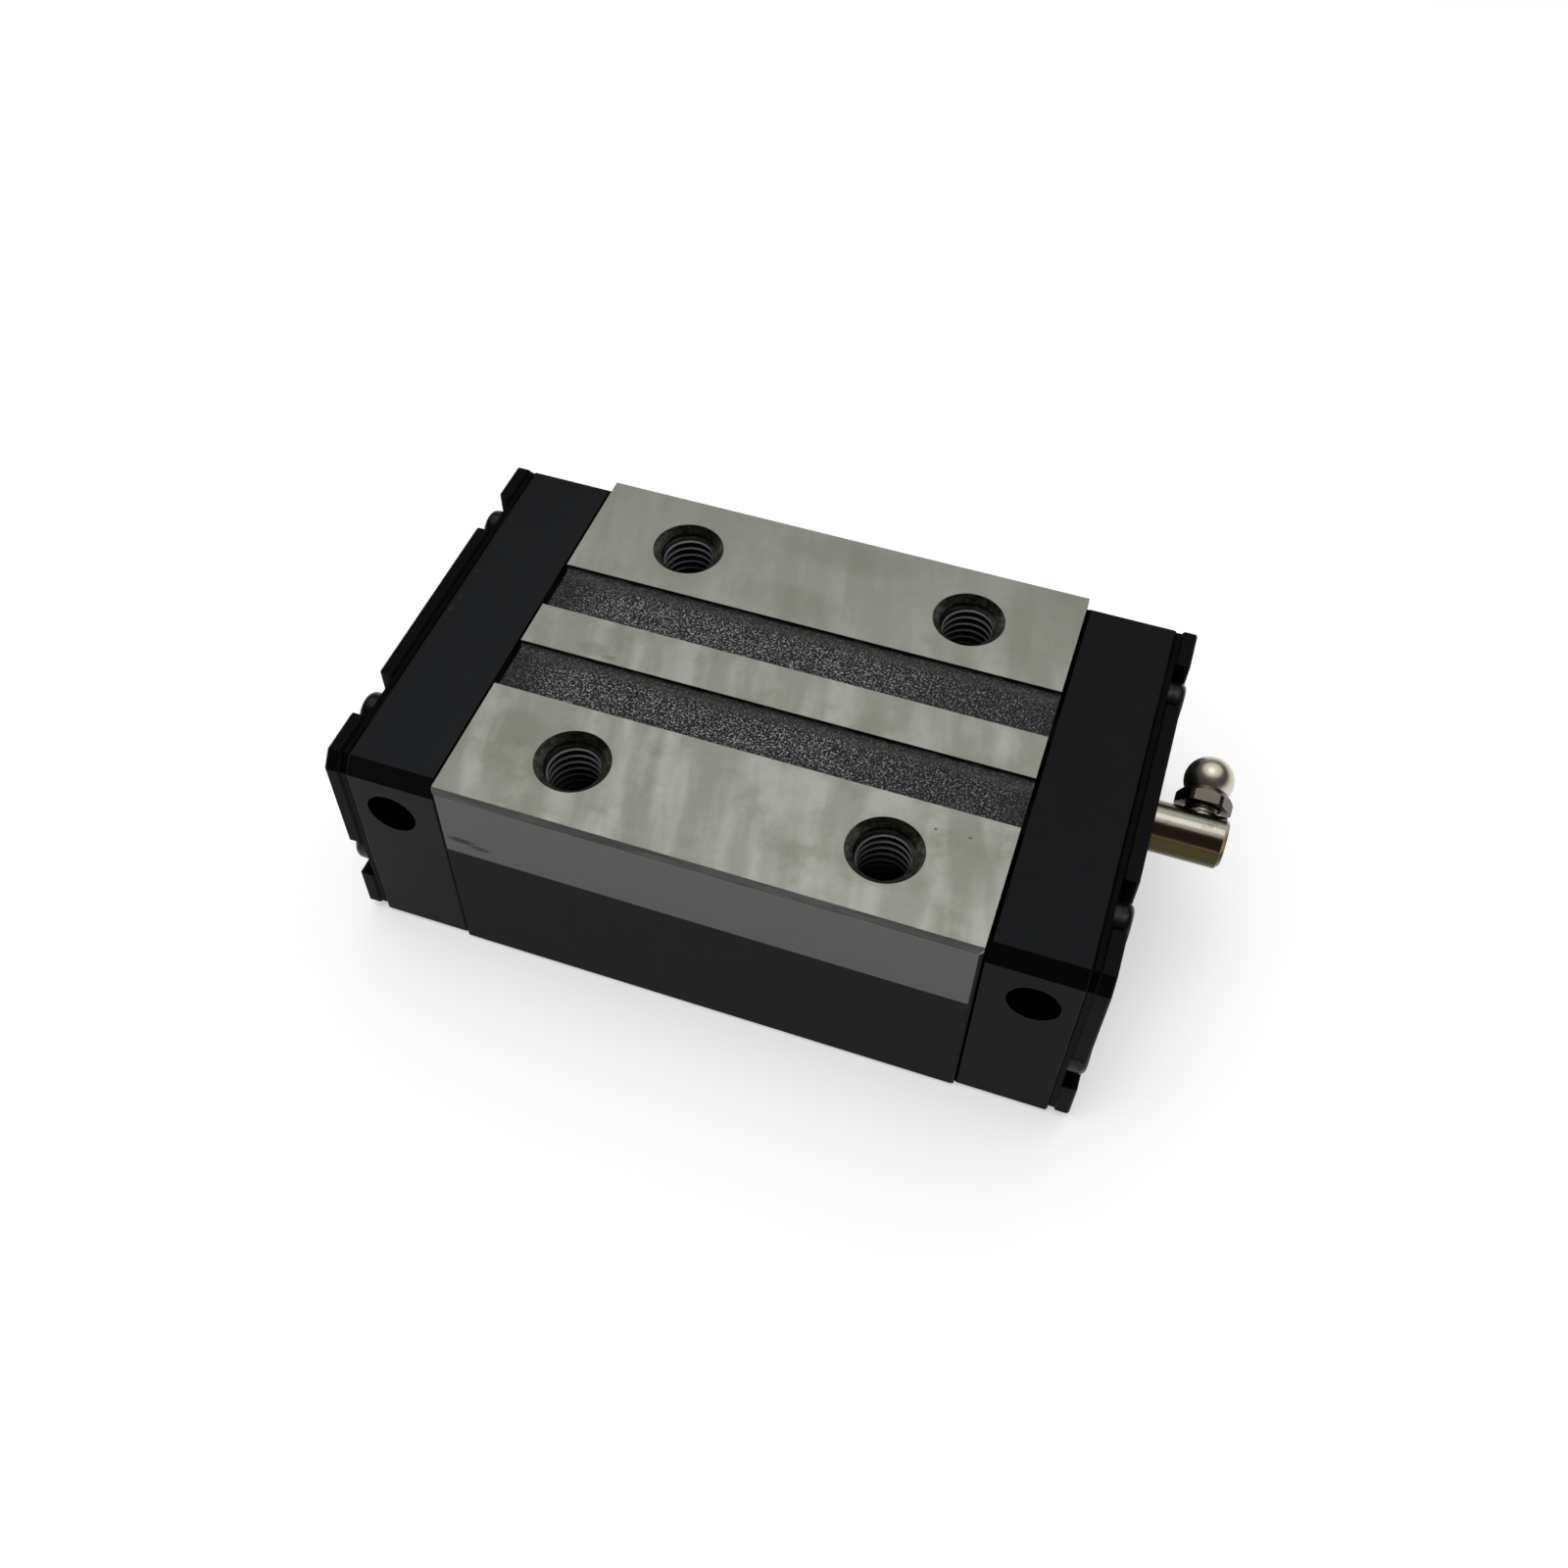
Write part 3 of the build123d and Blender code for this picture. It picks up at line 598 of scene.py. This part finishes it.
# Black sheet steel of the seal plates, painted darker still as shade in the recess between cap and
# seal
BLACK_SHEET_SHADED = black_material("black_sheet_painted_shade", (0.003, 0.006), rough=(0.3, 0.4), grain=(5.0, 0.01))
MATERIALS = {
    "ground_steel": runner_material(),
    "ball_steel": metal_material("ball_steel", (0.55, 0.62), (0.06, 0.12), 1.5),
    "black_resin": black_material("black_resin", (0.0155, 0.020), specks=CAP_SPECKS, **CAP_FINISH),
    "retainer_resin": black_material("retainer_resin", (0.03, 0.04), (0.4, 0.5), (6.0, 0.02)),
    "black_rubber": black_material("black_rubber", (0.006, 0.009), (0.34, 0.44), (4.0, 0.02)),
    "black_steel": metal_material("black_steel", (0.012, 0.035), (0.25, 0.4), 2.0, metallic=0.9),
    "nickelled_brass": brass_material("nickelled_brass", nipple_finish),
}
NODE_MATERIALS = {
    "seal_plate_left": BLACK_SHEET_SHADED,
    "seal_plate_right": BLACK_SHEET_SHADED,
    # Painted shade: the right cap is the same resin, painted darker
    "end_cap_right": black_material("black_resin_painted_shade", (0.0105, 0.0135), **CAP_FINISH),
    "grease_elbow": brass_material("elbow_brass_painted_reflections", elbow_finish),
}


def dress(piece, material):
    piece.data.materials.clear()
    piece.data.materials.append(material)


def dress_frame():
    for subpart in frame["record"]["subparts"]:
        dress(frame["nodes"][subpart["node"]], MATERIALS[subpart["material_slot"]])
    for name, material in NODE_MATERIALS.items():
        dress(frame["nodes"][name], material)


# Faces between rows of corners, round each row as well if it is closed
def join_rows(mesh, rows, closed):
    for first, second in zip(rows, rows[1:]):
        for a in range(len(first) if closed else len(first) - 1):
            b = (a + 1) % len(first)
            mesh.faces.new((first[a], second[a], second[b], first[b]))


# A thread is a ridge wound round Z: root, flank, crest, flank. `limit` trims it, as a countersink
# does.
def wind_thread(mesh, thread, ends, move, limit=None):
    root, crest, pitch = thread
    start, end = ends
    way = math.copysign(1, end - start)
    flat = THREAD_FLAT * pitch
    rise = pitch / 2
    profile = ((0.0, root), (flat, root), (rise, crest), (rise + flat, crest), (pitch, root))
    turns = int(abs(end - start) / pitch) + 2
    rows = []
    for number in range(turns * TURN_STEPS + 1):
        angle = 2 * math.pi * number / TURN_STEPS
        top = start + way * pitch * (number / TURN_STEPS - 1)
        row = []
        for drop, radius in profile:
            z = min(max(top + way * drop, min(ends)), max(ends))
            reach = max(radius, limit(z)) if limit else radius
            corner = Vector((reach * math.cos(angle), reach * math.sin(angle), z))
            row.append(mesh.verts.new(move @ corner))
        rows.append(row)
    join_rows(mesh, rows, closed=False)


# The mesh in millimetres becomes a piece of the block
def finish_piece(mesh, name, material):
    bmesh.ops.dissolve_degenerate(mesh, edges=mesh.edges, dist=WELD_DISTANCE)
    bmesh.ops.recalc_face_normals(mesh, faces=mesh.faces)
    bmesh.ops.scale(mesh, vec=(MM, MM, MM), verts=mesh.verts)
    data = bpy.data.meshes.new(name)
    mesh.to_mesh(data)
    mesh.free()
    data.polygons.foreach_set("use_smooth", [True] * len(data.polygons))
    data.set_sharp_from_angle(angle=math.radians(SMOOTH_ANGLE))
    piece = bpy.data.objects.new(name, data)
    bpy.context.scene.collection.objects.link(piece)
    dress(piece, material)
    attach(piece, "block")
    return piece


def cone_limit(z):
    return min(HOLE_MOUTH_RADIUS + z, HOLE_THREAD[0])


def hole_threads():
    mesh = bmesh.new()
    for side_x in (-1, 1):
        for side_y in (-1, 1):
            place = Matrix.Translation((side_x * HOLE_PITCH / 2, side_y * HOLE_PITCH / 2, 0))
            wind_thread(mesh, HOLE_THREAD, HOLE_THREAD_ENDS, place, limit=cone_limit)
    finish_piece(mesh, "mounting_hole_threads", THREAD_LIGHT_AND_SHADE)


def port_threads():
    for name, side in (("left", -1), ("right", 1)):
        mesh = bmesh.new()
        for turn in (math.radians(90), math.radians(-90)):
            place = Matrix.Translation((side * PORT_X, 0, PORT_Z)) @ Matrix.Rotation(turn, 4, "X")
            wind_thread(mesh, PORT_THREAD, PORT_THREAD_ENDS, place)
        finish_piece(mesh, f"port_threads_{name}", MATERIALS["black_resin"])


def nipple_thread():
    mesh = bmesh.new()
    wind_thread(mesh, NIPPLE_THREAD, NIPPLE_THREAD_ENDS, NIPPLE_PLACE)
    finish_piece(mesh, "nipple_thread", BRIGHT_THREAD)


# The valve's spring: a coil of wire in place of the CAD's spring, with a mesh of its own
def valve_spring():
    mesh = bmesh.new()
    radius, wire = SPRING_COIL
    low, high = SPRING_ENDS
    rise = (high - low) / SPRING_TURNS / (2 * math.pi)
    rings = []
    for number in range(SPRING_TURNS * SPRING_STEPS + 1):
        angle = 2 * math.pi * number / SPRING_STEPS
        outward = Vector((math.cos(angle), math.sin(angle), 0))
        along = Vector((-math.sin(angle) * radius, math.cos(angle) * radius, rise))
        upward = along.cross(outward).normalized()
        centre = outward * radius + Vector((0, 0, low + rise * angle))
        ring = []
        for side in range(WIRE_SIDES):
            turn = 2 * math.pi * side / WIRE_SIDES
            corner = centre + (outward * math.cos(turn) + upward * math.sin(turn)) * wire
            ring.append(mesh.verts.new(NIPPLE_PLACE @ corner))
        rings.append(ring)
    join_rows(mesh, rings, closed=True)
    mesh.faces.new(rings[0])
    mesh.faces.new(reversed(rings[-1]))
    piece = finish_piece(mesh, "valve_spring", MATERIALS["ball_steel"])
    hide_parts("nipple_spring")
    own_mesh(piece)


# Floor: pale paint that is lit up where the camera or a mirroring surface sees it
def add_floor():
    height = (FLOOR_Z - FLOOR_GAP) * MM
    bpy.ops.mesh.primitive_plane_add(size=FLOOR_SIDE, location=(0, 0, height))
    floor = bpy.context.object
    floor.name = "floor"
    material, tree, shader, place = new_material("floor_paint")
    rays = add_node(tree, "ShaderNodeLightPath").outputs
    seen = math_node(tree, "MAXIMUM", rays["Is Camera Ray"], rays["Is Glossy Ray"])
    seen = math_node(tree, "MAXIMUM", seen, rays["Is Transmission Ray"])
    inputs = {
        "Base Color": mix_colour(tree, noise(tree, place, 0.01), *FLOOR_GREYS),
        "Roughness": 0.9,
        "Specular IOR Level": 0.1,
        "Emission Color": WHITE,
        "Emission Strength": product(tree, seen, FLOOR_LIFT),
    }
    set_inputs(tree, shader, inputs)
    dress(floor, material)


def add_softbox(name, place, side, radiance, mirrored):
    data = bpy.data.lights.new(name, "AREA")
    data.shape = "SQUARE"
    data.size = side
    data.energy = radiance * RADIANCE_WATTS * side * side
    lamp = bpy.data.objects.new(name, data)
    lamp.location = place
    lamp.rotation_euler = (-Vector(place)).to_track_quat("-Z", "Y").to_euler()
    lamp.visible_glossy = mirrored
    bpy.context.scene.collection.objects.link(lamp)


# Sky: a broad bright patch over the object and behind it, bright low down, dim in front and between
def add_world():
    world = bpy.data.worlds.new("studio")
    world.use_nodes = True
    bpy.context.scene.world = world
    tree = world.node_tree
    direction = add_node(tree, "ShaderNodeTexCoord").outputs["Generated"]
    low = inverted(tree, step(tree, axes(tree, direction)[2], *SKY_LOW_EDGE))
    towards_patch = vector_node(tree, "DOT_PRODUCT", direction, SKY_PATCH)
    glow = step(tree, towards_patch, *SKY_PATCH_EDGE)
    level = math_node(tree, "MULTIPLY_ADD", low, SKY_LOW_LEVEL, SKY_LEVEL)
    level = math_node(tree, "MULTIPLY_ADD", glow, SKY_PATCH_LEVEL, level)
    set_inputs(tree, tree.nodes["Background"], {"Color": WHITE, "Strength": level})


def add_camera():
    data = bpy.data.cameras.new("photo_camera")
    data.sensor_width = SENSOR_MM
    data.lens = FOCAL_PIXELS / PHOTO_PIXELS * SENSOR_MM
    data.clip_start = CAMERA_CLIP * MM
    camera = bpy.data.objects.new("photo_camera", data)
    right, down, forward = (Vector(axis) for axis in (CAMERA_RIGHT, CAMERA_DOWN, CAMERA_FORWARD))
    turn = Matrix((right, -down, -forward)).transposed().to_4x4()
    camera.matrix_world = Matrix.Translation(Vector(CAMERA_PLACE) * MM) @ turn
    bpy.context.scene.collection.objects.link(camera)
    bpy.context.scene.camera = camera


dress_frame()
hole_threads()
port_threads()
nipple_thread()
valve_spring()
add_floor()
add_world()
for softbox in SOFTBOXES:
    add_softbox(*softbox)
add_camera()
bpy.context.scene.view_settings.view_transform = "Standard"
